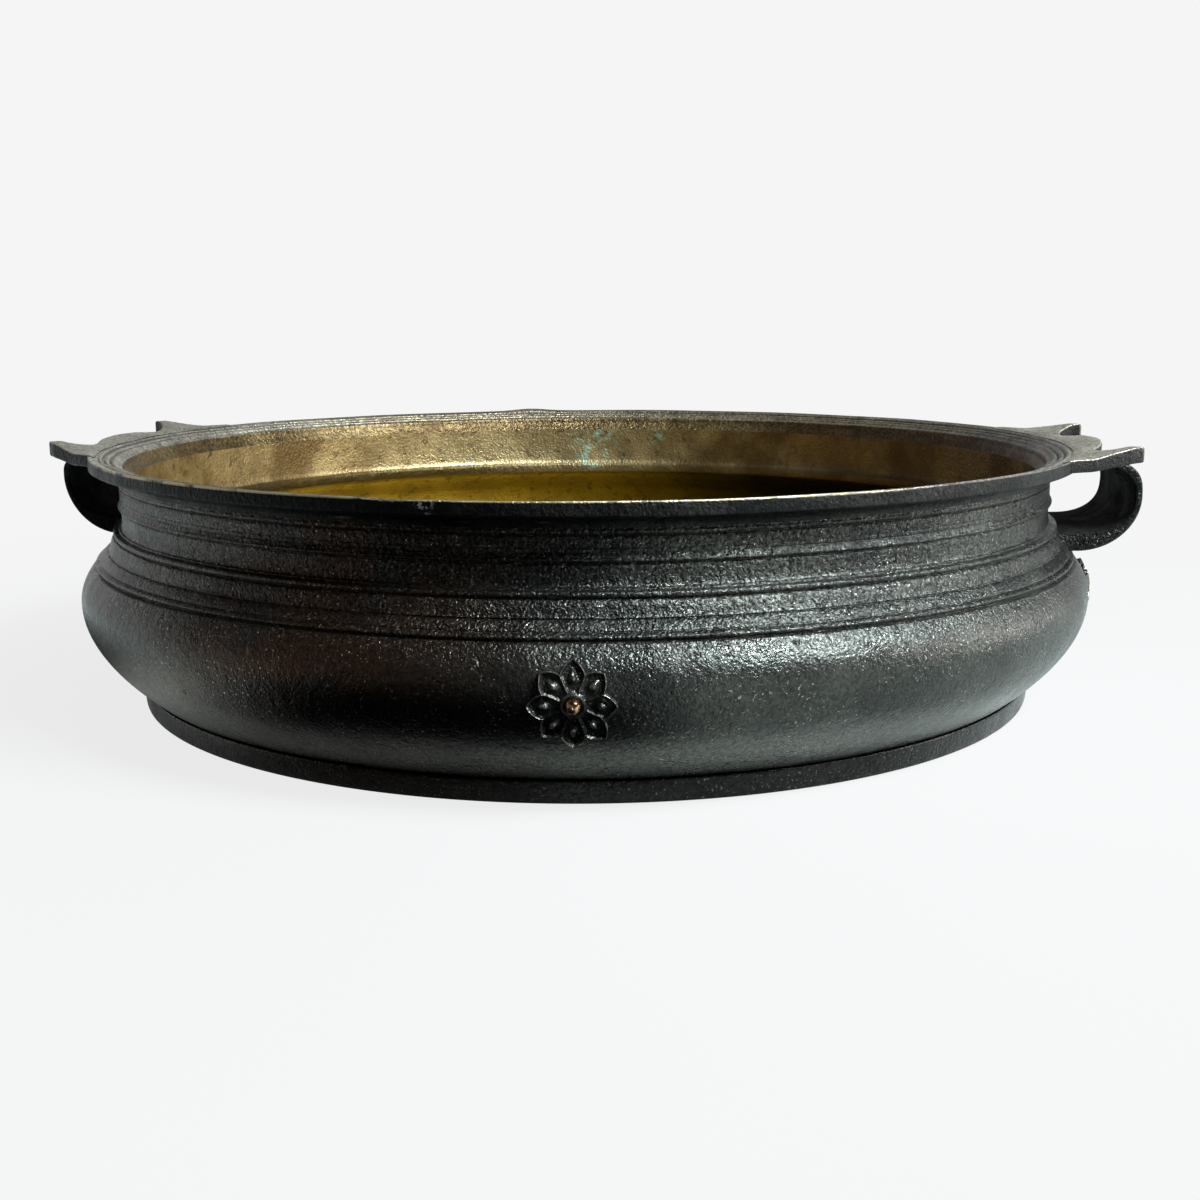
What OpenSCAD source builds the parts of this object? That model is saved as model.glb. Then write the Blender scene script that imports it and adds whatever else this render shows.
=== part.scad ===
// Cast brass cooking bowl (uruli) with a grooved neck, a flat rim, two eared strap handles and four rosettes.
// The bowl's axis is Z, the foot stands on z = 0, and the handles lie along X.

/* [Bowl] */
// Outside diameter of the flat rim
rim_d = 500; // [490:1:505]
// Height from the table to the top of the rim
rim_h = 123.2; // [122:0.1:124]
// Width of the flat top of the rim
rim_w = 16; // [14:0.5:18]
// Thickness of the rim at its outer edge
rim_t = 6; // [5:0.5:7]
// How far the top of the rim drops towards the inside
rim_dish = 5; // [3:0.5:6]
// Height of the ridges on top of the rim
ridge_h = 0.8; // [0.4:0.1:1.2]
// Outside diameter at the widest line of the belly
belly_d = 514.6; // [510:0.2:518]
// Height of the widest line of the belly
belly_z = 53; // [50:0.5:55]
// Thickness of the cast wall
wall = 5; // [4:0.1:6]

/* [Foot] */
// Height of the foot ring
foot_h = 10.5; // [9.5:0.5:13]
// Width of the flat face that the foot stands on
foot_land = 19; // [14:1:24]
// Gap between the table and the bowl's underside
foot_gap = 2; // [1:0.5:3]

/* [Handles] */
// Thickness of the ear plates
plate_t = 5.8; // [5:0.1:6]
// Angle from the handle's middle to where an ear plate leaves the rim
plate_angle = 23; // [21:0.5:25]
// Distance from the bowl's axis to the horn tips of the right ear plate
horn_reach_right = 269.8; // [268:0.1:271]
// Distance from the bowl's axis to the horn tips of the left ear plate
horn_reach_left = 263.3; // [262.5:0.1:265]
// Width of the strap loops along the rim
loop_w = 78; // [70:1:84]
// Distance from the bowl's axis to the outside of the right loop
loop_reach_right = 278.3; // [276:0.1:280]
// Distance from the bowl's axis to the outside of the left loop
loop_reach_left = 272; // [270:0.1:275]
// Height of the lowest point of the right loop
loop_low_right = 72.7; // [72:0.1:75]
// Height of the lowest point of the left loop
loop_low_left = 76; // [74:0.1:78]
// Height of the right loop's widest point
loop_wide_right = 101; // [98:0.5:104]
// Height of the left loop's widest point
loop_wide_left = 108; // [104:0.5:110]
// Thickness of a loop at its outer side
loop_t = 3.9; // [3:0.1:5]
// Thickness of a loop at its lowest point
loop_t_low = 9.6; // [8:0.1:10.5]

/* [Rosettes] */
// Number of petals
petals = 8; // [7:1:9]
// Distance from a rosette's centre to its petals' tips
petal_l = 17.4; // [16:0.1:18.5]
// Distance from a rosette's centre to the notches between its petals
notch_r = 12.4; // [11.8:0.1:13]
// Width of the raised edge around a petal
petal_edge = 1.2; // [0.9:0.1:1.4]
// Height of a petal's raised edge above the belly
edge_h = 1.9; // [1.4:0.1:2.4]
// Height of a petal's sunk middle above the belly
petal_h = 0.8; // [0.5:0.1:1.2]
// Radius of the boss in each petal
boss_r = 1.3; // [1:0.1:1.5]
// Radius of the round bead in the middle
bead_r = 2.9; // [2.8:0.1:3.6]
// Height of the bead's dome
bead_h = 2.6; // [1.8:0.1:3]
// Height of the rosettes' centres above the table
rosette_z = 47.5; // [44:0.5:52]
// Direction of the front rosette
rosette_front = -85; // [-95:1:-75]
// Direction of the right rosette
rosette_right = -3; // [-15:1:15]
// Direction of the back rosette
rosette_back = 92; // [80:1:100]
// Direction of the left rosette
rosette_left = 177; // [165:1:195]

/* [Hidden] */
$fn = 96;
bowl_fn = 256;

patina = [0.27, 0.26, 0.23];
rim_brass = [0.42, 0.38, 0.32];
worn_brass = [0.62, 0.50, 0.27];

// How far a cutting shape runs past what it cuts
past = 10;

rim_r = rim_d / 2;
belly_r = belly_d / 2;
plate_z = rim_h - plate_t;

// The belly is two half parabolas that meet at its widest line.
curve_low = 0.0152;
curve_high = 0.025;
shoulder_z = 69;
belly_step = 4;
function belly(z) = belly_r - (z < belly_z ? curve_low : curve_high) * pow(z - belly_z, 2);

// The neck is turned with grooves and beads. Radii are set back from the rim's edge.
seam_z = 110.9;
neck_top = 13.4;
function neck(set_back, z) = [rim_r - set_back, z];
neck_outline = [
    neck(1.4, 69.9), neck(0.8, 70.7), neck(0.9, 71.7), neck(1.8, 72.6),
    neck(3.0, 73.0), neck(2.6, 73.6),
    neck(5.8, 76.8), neck(7.0, 77.1), neck(6.7, 77.7), neck(7.2, 78.2),
    neck(8.8, 83.9), neck(10.6, 84.3),
    neck(9.7, 85.0), neck(9.4, 85.9), neck(9.8, 86.9), neck(12.0, 87.4),
    neck(12.4, 88.0), neck(13.6, 88.5),
    neck(13.6, 96.9), neck(14.2, 97.4), neck(12.8, 98.2), neck(12.5, 99.0), neck(13.4, 99.6),
    neck(13.6, 107.7), neck(14.3, 108.1),
    neck(13.3, 108.8), neck(13.1, 109.6), neck(neck_top, 110.4), neck(neck_top, seam_z)
];
belly_outline = [
    for (z = [foot_h : belly_step : shoulder_z - belly_step / 2]) [belly(z), z],
    [belly(shoulder_z), shoulder_z]
];

// The foot stands out a little from the belly's end, and widens upwards.
foot_r = belly(foot_h) + 0.5;
foot_flare = 0.4;
foot_edge_h = 1.5;

// The underside is flat as far as the foot, and turns up inside it.
base_flat_r = foot_r - foot_land;
base_turn = [
    [base_flat_r + 0.3 * foot_land, foot_gap + 1.2],
    [base_flat_r + 0.7 * foot_land, foot_gap + 3.5]
];
outside = concat([[0, foot_gap], [base_flat_r, foot_gap]], base_turn, belly_outline, neck_outline);

// The inside follows the belly and has one bead below the neck.
floor_z = foot_gap + wall;
throat_r = rim_r - 19;
ledge_r = throat_r - 1.5;
inner_bead = [
    [throat_r, 90], [throat_r - 0.9, 89],
    [ledge_r, 87], [ledge_r - 0.4, 84.5], [ledge_r, 82.4],
    [throat_r + 2, 79.5]
];
inner_top = 74;
inner_low = 18;
thicken = 0.025;
function inner_belly(z) = belly(z) - wall - thicken * (inner_top - z);
floor_curve = [[221, 12.5], [214, 9.4], [205, floor_z + 0.6], [192, floor_z]];
inside = concat(
    [[throat_r, seam_z]],
    inner_bead,
    [for (z = [inner_top : -belly_step : inner_low]) [inner_belly(z), z]],
    floor_curve,
    [[0, floor_z]]
);

// The rim is a flat ring with a cove below and three ridges on top.
cove_w = 12.4;
cove_step = 0.7;
cove_h = rim_h - rim_t - cove_step - seam_z;
rim_round = 0.8;
cove_outline = [
    for (t = [0 : 15 : 90]) [rim_r - neck_top + cove_w * (1 - cos(t)), seam_z + cove_h * sin(t)]
];
function rim_top(set_back) = [rim_r - set_back, rim_h - rim_dish * set_back / rim_w];
function ridge(set_back, w) = [
    for (t = [0 : 30 : 180]) rim_top(set_back + w * (1 - cos(t)) / 2) + [0, ridge_h * sin(t)]
];
ridges = concat(ridge(5.2, 2.6), ridge(8.6, 2.4), ridge(12, 3));
rim_outline = concat(
    cove_outline,
    [[rim_r, rim_h - rim_t], [rim_r, rim_h - rim_round], rim_top(rim_round)],
    ridges,
    [rim_top(rim_w - 0.4), rim_top(rim_w) - [0, 0.6]],
    [[throat_r + 1, seam_z + 1.2], [throat_r, seam_z]]
);

// A plate has a lobe in the middle, a horn with a squared end on each side, and a scallop between them.
// These are for full-length horns. X is how far beyond the rim, and the arcs turn from the directions named.
horn_side = [14, 74];
scallop = [30.1, 43];
scallop_r = 26;
horn_end_turn = 109;
notch_turn = 194;
lobe = [-56, 0];
lobe_r = 71;
lobe_turn = 31;
full_horn = scallop.x + scallop_r * cos(horn_end_turn);
arc_steps = 9;
function arc(centre, r, from, to) = [
    for (i = [0 : arc_steps])
        let (t = from + (to - from) * i / arc_steps)
        centre + r * [cos(t), sin(t)]
];

// A strap's section is a rounded loop, thicker at its lowest point, whose two ends run into the neck.
loop_depth = 30;
loop_end = rim_r - 24;
loop_top_t = 3.4;
loop_top = plate_z + 1.3;
loop_step = 7.5;
top_power = 3;
low_power = 2;
inner_power = 2.5;
function loop_side(centre, half, power, turns) = [
    for (t = turns)
        centre + [half.x * pow(abs(cos(t)), 2 / power), half.y * sign(t) * pow(abs(sin(t)), 2 / power)]
];

// Each petal is sunk inside its raised edge, from the hub to near its tip, with a round boss in it.
hub_r = 4.8;
hub_edge = 0.6;
boss_x = 11;

// Everything inside the bowl's outer surface, with the rim ring and the foot.
module envelope() {
    rotate_extrude($fn = bowl_fn)
        polygon(concat(
            [[0, 0], [foot_r, 0]],
            belly_outline,
            neck_outline,
            cove_outline,
            [[rim_r, rim_h - rim_t], [rim_r, rim_h + past], [0, rim_h + past]]
        ));
}

module bowl() {
    color(patina)
        rotate_extrude()
            polygon(concat(outside, inside));
}

module rim_ring() {
    color(rim_brass)
        rotate_extrude()
            polygon(rim_outline);
}

module foot_ring() {
    color(patina)
        rotate_extrude()
            polygon([
                [base_flat_r, 0], [foot_r, 0], [foot_r + foot_flare, foot_h - foot_edge_h],
                [belly(foot_h), foot_h], base_turn[1], base_turn[0], [base_flat_r, foot_gap]
            ]);
}

module plate_outline(horn_reach) {
    length = (horn_reach - rim_r) / full_horn;
    root = rim_r * [cos(plate_angle), sin(plate_angle)];
    beyond = concat(
        [horn_side],
        arc(scallop, scallop_r, horn_end_turn, notch_turn),
        arc(lobe, lobe_r, lobe_turn, 0)
    );
    half = concat([root], [for (p = beyond) [rim_r + length * p.x, p.y]]);
    other_half = [for (i = [len(half) - 2 : -1 : 0]) [half[i].x, -half[i].y]];
    polygon(concat(half, other_half));
}

module ear_plate(horn_reach) {
    color(rim_brass)
        difference() {
            translate([0, 0, plate_z])
                linear_extrude(plate_t)
                    plate_outline(horn_reach);
            cylinder(h = rim_h + past, r = rim_r, $fn = bowl_fn);
        }
}

module ear_plate_right() {
    ear_plate(horn_reach_right);
}

module ear_plate_left() {
    mirror([1, 0, 0])
        ear_plate(horn_reach_left);
}

module strap_loop(reach, low, wide) {
    centre = [reach - loop_depth, wide];
    inner_depth = loop_depth - loop_t;
    inner_low = low + loop_t_low;
    inner_top = loop_top - loop_top_t;
    outer = concat(
        loop_side(centre, [loop_depth, loop_top - wide], top_power, [90 : -loop_step : 0]),
        loop_side(centre, [loop_depth, wide - low], low_power, [-loop_step : -loop_step : -90])
    );
    inner = concat(
        loop_side(centre, [inner_depth, wide - inner_low], inner_power, [-90 : loop_step : 0]),
        loop_side(centre, [inner_depth, inner_top - wide], inner_power, [loop_step : loop_step : 90])
    );
    color(patina)
        difference() {
            rotate([90, 0, 0])
                linear_extrude(loop_w, center = true)
                    polygon(concat(
                        [[loop_end, plate_z]],
                        [for (p = outer) [p.x, min(p.y, plate_z)]],
                        [[loop_end, low], [loop_end, inner_low]],
                        inner,
                        [[loop_end, inner_top]]
                    ));
            envelope();
        }
}

module strap_loop_right() {
    strap_loop(loop_reach_right, loop_low_right, loop_wide_right);
}

module strap_loop_left() {
    mirror([1, 0, 0])
        strap_loop(loop_reach_left, loop_low_left, loop_wide_left);
}

// A petal's sides curve from the notches, which lie half a petal to each side, to its tip.
function petal_side(notch, tip, side) = [
    for (t = [0 : 15 : 75]) [notch.x + (tip - notch.x) * t / 90, side * notch.y * cos(t)]
];

module sunk_petals() {
    notch = notch_r * [cos(180 / petals), sin(180 / petals)] - [0, petal_edge];
    tip = petal_l - 1.7 * petal_edge;
    far_side = petal_side(notch, tip, 1);
    for (i = [0 : petals - 1])
        rotate(90 + 360 * i / petals)
            difference() {
                polygon(concat(
                    [[hub_r + hub_edge, 0]],
                    petal_side(notch, tip, -1),
                    [[tip, 0]],
                    [for (k = [len(far_side) - 1 : -1 : 0]) far_side[k]]
                ));
                translate([boss_x, 0])
                    circle(boss_r);
            }
}

module star() {
    notch = notch_r * [cos(180 / petals), sin(180 / petals)];
    far_side = petal_side(notch, petal_l, 1);
    petal = concat(
        petal_side(notch, petal_l, -1),
        [[petal_l, 0]],
        [for (k = [len(far_side) - 1 : -1 : 1]) far_side[k]]
    );
    difference() {
        polygon([
            for (i = [0 : petals - 1])
                let (turn = 90 + 360 * i / petals)
                for (p = petal) [p.x * cos(turn) - p.y * sin(turn), p.x * sin(turn) + p.y * cos(turn)]
        ]);
        circle(bead_r);
    }
}

// A flat outline wrapped onto the belly, with the stated height above it.
module on_belly(height) {
    intersection() {
        translate([belly_r - 2 * past, 0, rosette_z])
            rotate([90, 0, 90])
                linear_extrude(3 * past)
                    children();
        rotate_extrude($fn = bowl_fn)
            polygon(concat(
                belly_outline,
                [for (i = [len(belly_outline) - 1 : -1 : 0]) belly_outline[i] + [height, 0]]
            ));
    }
}

module rosette(angle) {
    color(patina)
        rotate(angle) {
            on_belly(petal_h)
                star();
            on_belly(edge_h)
                difference() {
                    star();
                    sunk_petals();
                }
        }
}

// A domed bead whose round shank fills the hole in the middle of a rosette.
module bead(angle) {
    base_x = belly_r - past;
    dome_x = belly(rosette_z) + 1;
    color(worn_brass)
        rotate(angle)
            difference() {
                translate([base_x, 0, rosette_z])
                    rotate([0, 90, 0])
                        rotate_extrude()
                            polygon(concat(
                                [[0, 0], [bead_r, 0]],
                                [for (t = [0 : 15 : 90]) [bead_r * cos(t), dome_x - base_x + bead_h * sin(t)]]
                            ));
                envelope();
            }
}

bowl();
rim_ring();
foot_ring();
ear_plate_right();
ear_plate_left();
strap_loop_right();
strap_loop_left();
rosette(rosette_front);
rosette(rosette_right);
rosette(rosette_back);
rosette(rosette_left);
bead(rosette_front);  // bead_front
bead(rosette_right);  // bead_right
bead(rosette_back);  // bead_back
bead(rosette_left);  // bead_left
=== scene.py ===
"""A cast brass uruli: a wide dark bowl with a grooved neck, a flat rim, two eared handles and four rosettes.

Lengths in the shape code are in millimetres, in the CAD frame, and build() turns them into metres. Materials,
camera, lights and floor use metres.
"""

import math

import bpy
import numpy as np
from mathutils import Matrix, Vector


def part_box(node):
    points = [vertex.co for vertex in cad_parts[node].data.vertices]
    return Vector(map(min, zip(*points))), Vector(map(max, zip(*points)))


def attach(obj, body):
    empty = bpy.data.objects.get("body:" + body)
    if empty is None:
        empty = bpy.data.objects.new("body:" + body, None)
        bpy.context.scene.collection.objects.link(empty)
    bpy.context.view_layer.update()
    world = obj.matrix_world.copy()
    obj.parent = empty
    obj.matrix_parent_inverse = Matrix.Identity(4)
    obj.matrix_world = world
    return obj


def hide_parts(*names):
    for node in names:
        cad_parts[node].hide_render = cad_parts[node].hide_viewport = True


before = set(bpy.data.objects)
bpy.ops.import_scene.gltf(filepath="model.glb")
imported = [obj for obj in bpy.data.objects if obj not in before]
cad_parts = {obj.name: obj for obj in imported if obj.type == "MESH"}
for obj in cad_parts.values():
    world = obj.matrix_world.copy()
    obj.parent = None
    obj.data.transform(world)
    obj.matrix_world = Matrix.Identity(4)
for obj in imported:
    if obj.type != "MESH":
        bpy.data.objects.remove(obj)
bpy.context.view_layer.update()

MM = 0.001


# ---------------------------------------------------------------- sizes taken from the frame

def node_box(name):
    """The lowest and highest corner of a CAD node, in millimetres."""
    low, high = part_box(name)
    return low / MM, high / MM


rim_low, rim_high = node_box("rim_ring")
plate_low, plate_high = node_box("ear_plate_right")

RIM_R = rim_high.x
RIM_Z = rim_high.z
SEAM_Z = rim_low.z
BELLY_R = node_box("bowl")[1].x
FOOT_TOP = node_box("foot_ring")[1].z
PLATE_T = plate_high.z - plate_low.z
PLATE_Z = plate_low.z

# The rest of the CAD's driving sizes.
BELLY_Z = 53.0
CURVE_LOW, CURVE_HIGH = 0.0152, 0.025
SHOULDER_Z = 69.0
WALL = 5.0
RIM_W = 16.0
RIM_DISH = 5.0
RIM_T = 6.0
FOOT_GAP = 2.0
FLOOR_Z = FOOT_GAP + WALL
THROAT_R = RIM_R - 19.0
NECK_TOP = 13.4
FOOT_OUT, FOOT_FLARE, FOOT_LAND = 0.5, 0.4, 19.0
ROSETTE_Z = 47.5
ROSETTES = {"front": -85.0, "right": -3.0, "back": 92.0, "left": 177.0}


# ---------------------------------------------------------------- outlines

def belly(z):
    """The radius of the belly's outside at height z."""
    curve = np.where(np.asarray(z) < BELLY_Z, CURVE_LOW, CURVE_HIGH)
    return BELLY_R - curve * (np.asarray(z, float) - BELLY_Z) ** 2


def rounded(points, passes=2):
    """Cuts the corners of an outline, so that they look cast and worn. Its ends stay."""
    line = np.array(points, float)
    for _ in range(passes):
        first = 0.75 * line[:-1] + 0.25 * line[1:]
        second = 0.25 * line[:-1] + 0.75 * line[1:]
        middle = np.stack([first, second], 1).reshape(-1, 2)
        line = np.concatenate([line[:1], middle[1:-1], line[-1:]])
    return line


def spaced(line, step):
    """Adds points so that no stretch of an outline is longer than step."""
    parts = []
    for a, b in zip(line[:-1], line[1:]):
        count = max(1, int(math.ceil(np.hypot(*(b - a)) / step)))
        parts.append(a + (b - a) * np.arange(count)[:, None] / count)
    return np.concatenate(parts + [line[-1:]])


def neck(set_back, z):
    return (RIM_R - set_back, z)


def base_turn():
    """The underside's outer part: where its flat ends, and two points where it turns up inside the foot."""
    flat_r = float(belly(FOOT_TOP)) + FOOT_OUT - FOOT_LAND
    return [
        (flat_r, FOOT_GAP),
        (flat_r + 0.3 * FOOT_LAND, FOOT_GAP + 1.2),
        (flat_r + 0.7 * FOOT_LAND, FOOT_GAP + 3.5),
    ]


def outside_outline():
    """From the middle of the underside, up the belly and the turned neck, to the seam under the rim."""
    base = [(0, FOOT_GAP)] + base_turn()
    heights = np.append(np.arange(FOOT_TOP, SHOULDER_Z - 1, 1.5), SHOULDER_Z)
    side = [(float(belly(z)), z) for z in heights]
    shoulder = [
        neck(-0.6, 69.3), neck(1.6, 69.8), neck(1.5, 70.2),
        neck(0.5, 70.8), neck(0.5, 71.8), neck(1.7, 72.5),
    ]
    slope = [
        neck(3.1, 73.0), neck(2.5, 73.5), neck(5.9, 76.8),
        neck(7.2, 77.1), neck(6.4, 77.6), neck(7.1, 78.2),
    ]
    low_band = [
        neck(8.8, 83.8), neck(10.9, 84.3), neck(9.6, 84.9),
        neck(9.2, 85.9), neck(9.7, 87.0), neck(12.2, 87.4),
    ]
    middle_band = [neck(12.0, 88.0), neck(13.6, 88.5), neck(13.9, 93.0), neck(13.6, 96.8), neck(14.5, 97.4)]
    bead = [neck(12.6, 98.0), neck(12.2, 98.8), neck(12.9, 99.6)]
    fine_lines = [
        neck(13.5 + depth, z + dz)
        for z in (101.4, 103.2)
        for depth, dz in ((0.0, -0.4), (0.35, 0.0), (0.0, 0.4))
    ]
    top_band = [neck(13.6, 107.7), neck(14.5, 108.1), neck(13.2, 108.7), neck(12.9, 109.6), neck(13.3, 110.4)]
    turned = shoulder + slope + low_band + middle_band + bead + fine_lines + top_band
    turned.append(neck(NECK_TOP, SEAM_Z))
    return np.concatenate([spaced(rounded(base + side, 1), 2.5), spaced(rounded(turned, 2), 1.5)])


def inside_outline():
    """From the seam under the rim, down the throat and its bead, to the middle of the floor."""
    ledge = THROAT_R - 1.6
    throat = [
        (THROAT_R, SEAM_Z), (THROAT_R + 0.4, 100), (THROAT_R, 90.5), (THROAT_R - 0.6, 88.6), (ledge, 87.4),
        (ledge - 0.5, 86.2), (ledge - 0.5, 83.0), (ledge, 81.8), (THROAT_R + 1.5, 80.6),
        (THROAT_R + 4.5, 77.6), (float(belly(74)) - WALL - 1, 74),
    ]
    side = [(float(belly(z)) - WALL - 0.025 * (70 - z), z) for z in np.arange(70, 17, -2.0)]
    floor = [(221, 12.5), (214, 9.4), (205, FLOOR_Z + 0.6), (192, FLOOR_Z), (0, FLOOR_Z)]
    return spaced(rounded(throat + side + floor, 2), 3.0)


def rim_outline():
    """The rim's section: a cove below, a flat edge, and a dished top with ridges, one closed line."""
    turns = np.radians(np.arange(0, 91, 10))
    cove = [(RIM_R - NECK_TOP + 12.4 * (1 - math.cos(t)), SEAM_Z + 5.6 * math.sin(t)) for t in turns]

    def top(set_back, lift=0.0):
        return (RIM_R - set_back, RIM_Z - RIM_DISH * set_back / RIM_W + lift)

    def ridge(set_back, width, height):
        shape = ((0, 0), (0.2, 0.8), (0.5, 1), (0.8, 0.8), (1, 0))
        return [top(set_back + width * across, height * up) for across, up in shape]

    edge = [
        (RIM_R - 0.2, RIM_Z - RIM_T), (RIM_R, RIM_Z - RIM_T + 0.6), (RIM_R, RIM_Z - 0.9),
        top(0.3, -0.1), top(0.9, 0.1),
    ]
    flat = [top(4.4)]
    ridges = ridge(4.9, 2.0, 1.1) + [top(7.4, -0.8)] + ridge(7.9, 2.2, 0.9)
    ridges += [top(10.6, -0.9)] + ridge(11.0, 2.6, 1.0)
    lip = [
        top(14.4, -0.1), top(RIM_W - 0.7, 0.1), top(RIM_W, -0.7),
        (RIM_R - RIM_W - 0.3, RIM_Z - RIM_DISH - 3),
    ]
    inner = [(THROAT_R + 1, SEAM_Z + 1.5), (THROAT_R, SEAM_Z)]
    return spaced(rounded(cove + edge + flat + ridges + lip + inner, 2), 1.5)


def foot_outline():
    """The foot ring's section, one closed line."""
    foot_r = float(belly(FOOT_TOP)) + FOOT_OUT
    (inner, _), first, second = base_turn()
    points = [
        (inner, 0.3), (inner + 0.5, 0), (foot_r - 0.8, 0), (foot_r, 0.7),
        (foot_r + FOOT_FLARE, FOOT_TOP - 2.0), (foot_r + FOOT_FLARE, FOOT_TOP - 1.0),
        (foot_r - 0.1, FOOT_TOP - 0.3), second, first, (inner, FOOT_GAP), (inner, 0.3),
    ]
    return spaced(rounded(points, 2), 2.0)


# ---------------------------------------------------------------- meshes

HUMP_TURN, HUMP_WIDTH, HUMP_HEIGHT = math.radians(105.0), 0.055, 1.3
CHIP_TURN, CHIP_WIDTH, CHIP_DEPTH = math.radians(-101.0), 0.036, 1.1


def hand_made(points):
    """Bends every piece alike, so that the bowl isn't quite round or level. Its rim has a hump and a chip."""
    x, y, z = points.T
    turn, r = np.arctan2(y, x), np.hypot(x, y)
    high = np.clip(z / RIM_Z, 0, 1)
    swell = 0.30 * np.sin(2 * turn + 0.7) + 0.18 * np.sin(3 * turn + 2.1) + 0.10 * np.sin(7 * turn + 0.4)
    swell += 0.10 * np.sin(11 * turn + z / 9) + 0.06 * np.sin(23 * turn - z / 6)
    lift = 0.25 * np.sin(2 * turn + 1.0) + 0.12 * np.sin(5 * turn) + 0.08 * np.sin(17 * turn + 1.3)
    lift *= high ** 3

    def near(centre, width):
        away = (turn - centre + math.pi) % (2 * math.pi) - math.pi
        return np.exp(-((away / width) ** 2))

    at_edge = np.clip((r - (RIM_R - 9)) / 6, 0, 1) * np.clip((z - (RIM_Z - 4)) / 3, 0, 1)
    lift += HUMP_HEIGHT * near(HUMP_TURN, HUMP_WIDTH) * at_edge
    lift -= CHIP_DEPTH * near(CHIP_TURN, CHIP_WIDTH) * at_edge * (0.7 + 0.3 * np.sin(turn * 400))
    scale = 1 + swell * high / np.maximum(r, 60)
    return np.stack([x * scale, y * scale, z + lift], 1)


def build(name, points, faces, material, slot, node, sharp=38):
    """A mesh object from points in millimetres, in place of one CAD node."""
    mesh = bpy.data.meshes.new(name)
    mesh.from_pydata((hand_made(np.asarray(points, float)) * MM).tolist(), [], faces)
    mesh.materials.append(material)
    mesh.polygons.foreach_set("use_smooth", [True] * len(mesh.polygons))
    mesh.set_sharp_from_angle(angle=math.radians(sharp))
    mesh.update()
    piece = bpy.data.objects.new(name, mesh)
    bpy.context.scene.collection.objects.link(piece)
    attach(piece, "root")
    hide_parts(node)
    return piece


def grid_faces(rows, columns, wrap_rows=False, wrap_columns=False):
    """Quads of a grid whose point (i, j) is number i * columns + j."""
    faces = []
    for i in range(rows if wrap_rows else rows - 1):
        for j in range(columns if wrap_columns else columns - 1):
            a, b = i * columns + j, i * columns + (j + 1) % columns
            c, d = ((i + 1) % rows) * columns + (j + 1) % columns, ((i + 1) % rows) * columns + j
            faces.append((a, b, c, d))
    return faces


def spin(outline, turns):
    """Points and faces of an outline turned round Z. An end on the axis closes to one point."""
    angles = np.arange(turns) * 2 * math.pi / turns
    closed = np.allclose(outline[0], outline[-1])
    line = outline[:-1] if closed else outline
    poles = [i for i in (0, len(line) - 1) if not closed and line[i][0] < 0.01]
    body = np.delete(line, poles, axis=0)
    ring = np.stack([np.cos(angles), np.sin(angles)], 1)
    points = np.concatenate([
        (body[None, :, 0, None] * ring[:, None, :]).reshape(-1, 2),
        np.tile(body[:, 1], turns)[:, None],
    ], 1)
    faces = grid_faces(turns, len(body), wrap_rows=True, wrap_columns=closed)
    for pole in poles:
        tip, column = len(points), 0 if pole == 0 else len(body) - 1
        points = np.vstack([points, [0, 0, line[pole][1]]])
        for i in range(turns):
            a, b = i * len(body) + column, ((i + 1) % turns) * len(body) + column
            faces.append((tip, a, b) if pole else (tip, b, a))
    return points, faces


BOWL_TURNS, RIM_TURNS = 720, 960


def make_bowl(outside_material, inside_material):
    """The cast body. Faces that come after the seam under the rim get the inside's material."""
    outer, inner = outside_outline(), inside_outline()
    points, faces = spin(np.vstack([outer, inner]), BOWL_TURNS)
    bowl = build("bowl_body", points, faces, outside_material, "aged_brass", "bowl", sharp=50)
    bowl.data.materials.append(inside_material)
    columns = len(outer) + len(inner) - 2
    first_inside = len(outer) - 1
    for face in bowl.data.polygons:
        column = face.vertices[0] % columns
        in_grid = face.index < BOWL_TURNS * (columns - 1)
        at_floor = not in_grid and face.index >= BOWL_TURNS * columns
        face.material_index = 1 if (in_grid and column >= first_inside - 1) or at_floor else 0
    return bowl


# ---------------------------------------------------------------- handles

QUARTER = np.radians(np.linspace(0, 90, 6))
PLATE_ANGLE = math.radians(23.0)
LOBE, LOBE_R, LOBE_TURN = (-56.0, 0.0), 71.0, 31.0
SCALLOP, SCALLOP_R, HORN_END_TURN, NOTCH_TURN = (30.1, 43.0), 26.0, 109.0, 194.0
HORN_SIDE = (14.0, 74.0)
FULL_HORN = SCALLOP[0] + SCALLOP_R * math.cos(math.radians(HORN_END_TURN))
HORN_CURL, HORN_THICKER, LOBE_CURL = 2.3, 1.6, 1.9


def arc(centre, r, start, end, steps):
    turns = np.radians(np.linspace(start, end, steps))
    return [(centre[0] + r * math.cos(t), centre[1] + r * math.sin(t)) for t in turns]


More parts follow.
